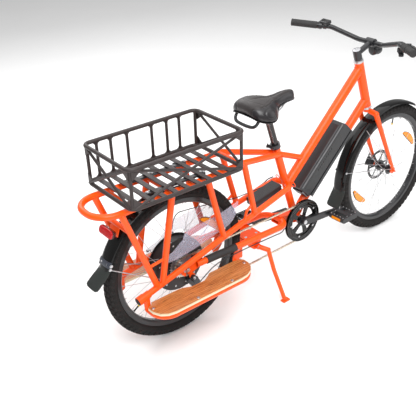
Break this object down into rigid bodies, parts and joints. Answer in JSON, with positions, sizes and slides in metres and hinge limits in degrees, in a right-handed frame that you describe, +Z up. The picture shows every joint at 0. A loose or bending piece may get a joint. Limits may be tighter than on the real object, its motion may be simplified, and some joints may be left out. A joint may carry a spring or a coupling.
{
  "type": "cargo bicycle",
  "caption": "Long-tail electric cargo bicycle with a welded rear rack, wire basket, wooden running boards, double-leg stand, battery, fenders and raised handlebar.",
  "frame": {"origin": "on the ground, below the middle of the bicycle's bounding box", "axes": "+X forwards to the front wheel, +Y to the rider's left, +Z up"},
  "size_m": [2.066, 0.7124, 1.0967],
  "materials": {
    "orange_paint": "satin powder coat",
    "bolt_steel": "plain zinc and stainless",
    "black_rubber": "matte",
    "black_alloy": "satin black anodised",
    "dark_plastic": "matte moulded",
    "chain_steel": "dark oiled steel",
    "board_wood": "oiled bamboo with lengthwise grain",
    "basket_coat": "dark grey textured powder coat",
    "gloss_black": "glossy",
    "red_lens": "clear red",
    "clear_sheet": "clear polycarbonate sheet",
    "tyre_rubber": "matte black",
    "rotor_steel": "ground stainless",
    "saddle_vinyl": "embossed vinyl",
    "grip_rubber": "matte"
  },
  "bodies": {
    "frame": {"main_frame": "orange_paint", "rear_stays": "orange_paint", "rack_struts": "orange_paint", "rack_rails": "orange_paint", "frame_plates": "orange_paint", "frame_hardware": "bolt_steel", "chainstay_protector": "black_rubber", "seat_clamp": "black_alloy", "battery_rail": "dark_plastic", "controller_box": "dark_plastic", "cables": "black_rubber", "rear_axle": "bolt_steel", "chain": "chain_steel", "derailleur": "black_alloy", "rear_caliper": "black_alloy", "board_hoops": "orange_paint", "running_boards": "board_wood", "basket_frame": "basket_coat", "basket_slats": "basket_coat", "basket_brackets": "black_alloy", "rear_fender": "gloss_black", "rear_mudflap": "black_rubber", "rear_light_housing": "dark_plastic", "rear_light_lens": "red_lens", "spoke_skirts": "clear_sheet"},
    "rear_wheel": {"rear_tyre": "tyre_rubber", "rear_rim": "black_alloy", "rear_spokes": "bolt_steel", "hub_motor": "black_alloy", "rear_rotor": "rotor_steel"},
    "freewheel": {"freewheel": "chain_steel"},
    "crank": {"crank_arms": "black_alloy", "chainring": "chain_steel", "chain_guard": "black_alloy"},
    "pedal_right": {"pedal_right": "dark_plastic"},
    "pedal_left": {"pedal_left": "dark_plastic"},
    "guide_pulley": {"guide_pulley": "dark_plastic"},
    "tension_pulley": {"tension_pulley": "dark_plastic"},
    "rear_caliper_arm": {"rear_caliper_arm": "rotor_steel"},
    "kickstand": {"kickstand": "orange_paint"},
    "battery": {"battery": "dark_plastic"},
    "seat_release_lever": {"seat_release_lever": "black_alloy"},
    "seatpost": {"seatpost": "black_alloy"},
    "saddle": {"saddle": "saddle_vinyl"},
    "steering": {"fork": "orange_paint", "handlebar": "black_alloy", "grips": "grip_rubber", "control_mounts": "black_alloy", "front_fender": "gloss_black", "headlight": "dark_plastic", "front_caliper": "black_alloy"},
    "front_wheel": {"front_tyre": "tyre_rubber", "front_rim": "black_alloy", "front_spokes": "bolt_steel", "front_hub": "black_alloy"},
    "front_caliper_arm": {"front_caliper_arm": "rotor_steel"},
    "throttle": {"throttle": "grip_rubber"},
    "shift_lever": {"shift_lever": "dark_plastic"},
    "brake_lever_right": {"brake_lever_right": "black_alloy"},
    "brake_lever_left": {"brake_lever_left": "black_alloy"}
  },
  "joints": [
    {"name": "rear_wheel_spin", "type": "hinge", "parent": "frame", "child": "rear_wheel", "pos_m": [-0.63499, 0, 0.338], "axis": [0, 1, 0], "continuous": true},
    {"name": "front_wheel_spin", "type": "hinge", "parent": "steering", "child": "front_wheel", "pos_m": [0.69501, 0, 0.338], "axis": [0, 1, 0], "continuous": true},
    {"name": "steering_turn", "type": "hinge", "parent": "frame", "child": "steering", "pos_m": [0.50761, 0, 0.721], "axis": [-0.342, 0, 0.9397], "range_deg": [-50, 50]},
    {"name": "crank_spin", "type": "hinge", "parent": "frame", "child": "crank", "pos_m": [0.04901, 0, 0.29], "axis": [0, 1, 0], "continuous": true},
    {"name": "freewheel_spin", "type": "hinge", "parent": "frame", "child": "freewheel", "pos_m": [-0.63499, 0, 0.338], "axis": [0, 1, 0], "continuous": true},
    {"name": "guide_pulley_spin", "type": "hinge", "parent": "frame", "child": "guide_pulley", "pos_m": [-0.60499, -0.05, 0.262], "axis": [0, 1, 0], "continuous": true},
    {"name": "tension_pulley_spin", "type": "hinge", "parent": "frame", "child": "tension_pulley", "pos_m": [-0.56899, -0.05, 0.205], "axis": [0, 1, 0], "continuous": true},
    {"name": "pedal_right_spin", "type": "hinge", "parent": "crank", "child": "pedal_right", "pos_m": [0.2189, 0, 0.29593], "axis": [0, 1, 0], "continuous": true},
    {"name": "pedal_left_spin", "type": "hinge", "parent": "crank", "child": "pedal_left", "pos_m": [-0.12089, 0, 0.28407], "axis": [0, 1, 0], "continuous": true},
    {"name": "kickstand_fold", "type": "hinge", "parent": "frame", "child": "kickstand", "pos_m": [-0.22699, 0, 0.264], "axis": [0, 1, 0], "range_deg": [0, 80]},
    {"name": "battery_slide", "type": "slide", "parent": "frame", "child": "battery", "axis": [0.7121, 0, 0.7021], "range_m": [0, 0.06]},
    {"name": "seatpost_slide", "type": "slide", "parent": "frame", "child": "seatpost", "axis": [-0.3173, 0, 0.9483], "range_m": [-0.08, 0.12]},
    {"name": "saddle_tilt", "type": "hinge", "parent": "seatpost", "child": "saddle", "pos_m": [-0.13369, 0, 0.836], "axis": [0, 1, 0], "range_deg": [-6, 6]},
    {"name": "seat_release", "type": "hinge", "parent": "frame", "child": "seat_release_lever", "pos_m": [-0.11083, 0.02, 0.692], "axis": [0, 0, -1], "range_deg": [0, 110]},
    {"name": "brake_lever_right_squeeze", "type": "hinge", "parent": "steering", "child": "brake_lever_right", "pos_m": [0.45632, -0.23588, 1.06528], "axis": [0, 0, -1], "range_deg": [0, 12], "stiffness_Nm_per_rad": 1.5},
    {"name": "brake_lever_left_squeeze", "type": "hinge", "parent": "steering", "child": "brake_lever_left", "pos_m": [0.45632, 0.23588, 1.06528], "axis": [0, 0, 1], "range_deg": [0, 12], "stiffness_Nm_per_rad": 1.5},
    {"name": "rear_caliper_pull", "type": "hinge", "parent": "frame", "child": "rear_caliper_arm", "pos_m": [-0.58328, 0.066, 0.40419], "axis": [0, -1, 0], "range_deg": [0, 24]},
    {"name": "front_caliper_pull", "type": "hinge", "parent": "steering", "child": "front_caliper_arm", "pos_m": [0.62919, 0.058, 0.376], "axis": [0, -1, 0], "range_deg": [0, 24]},
    {"name": "throttle_twist", "type": "hinge", "parent": "steering", "child": "throttle", "pos_m": [0.3936, -0.26748, 1.07187], "axis": [0.5826, 0.81, -0.0666], "range_deg": [-60, 0], "stiffness_Nm_per_rad": 0.25},
    {"name": "shift_lever_push", "type": "hinge", "parent": "steering", "child": "shift_lever", "pos_m": [0.42797, -0.21968, 1.03795], "axis": [0, 0, 1], "range_deg": [0, 35]}
  ],
  "couplings": [
    {"joint": "freewheel_spin", "follows": "crank_spin", "ratio": 2.3},
    {"joint": "guide_pulley_spin", "follows": "crank_spin", "ratio": -4.1818},
    {"joint": "tension_pulley_spin", "follows": "crank_spin", "ratio": 4.1818},
    {"joint": "rear_caliper_pull", "follows": "brake_lever_right_squeeze", "ratio": 2},
    {"joint": "front_caliper_pull", "follows": "brake_lever_left_squeeze", "ratio": 2}
  ]
}
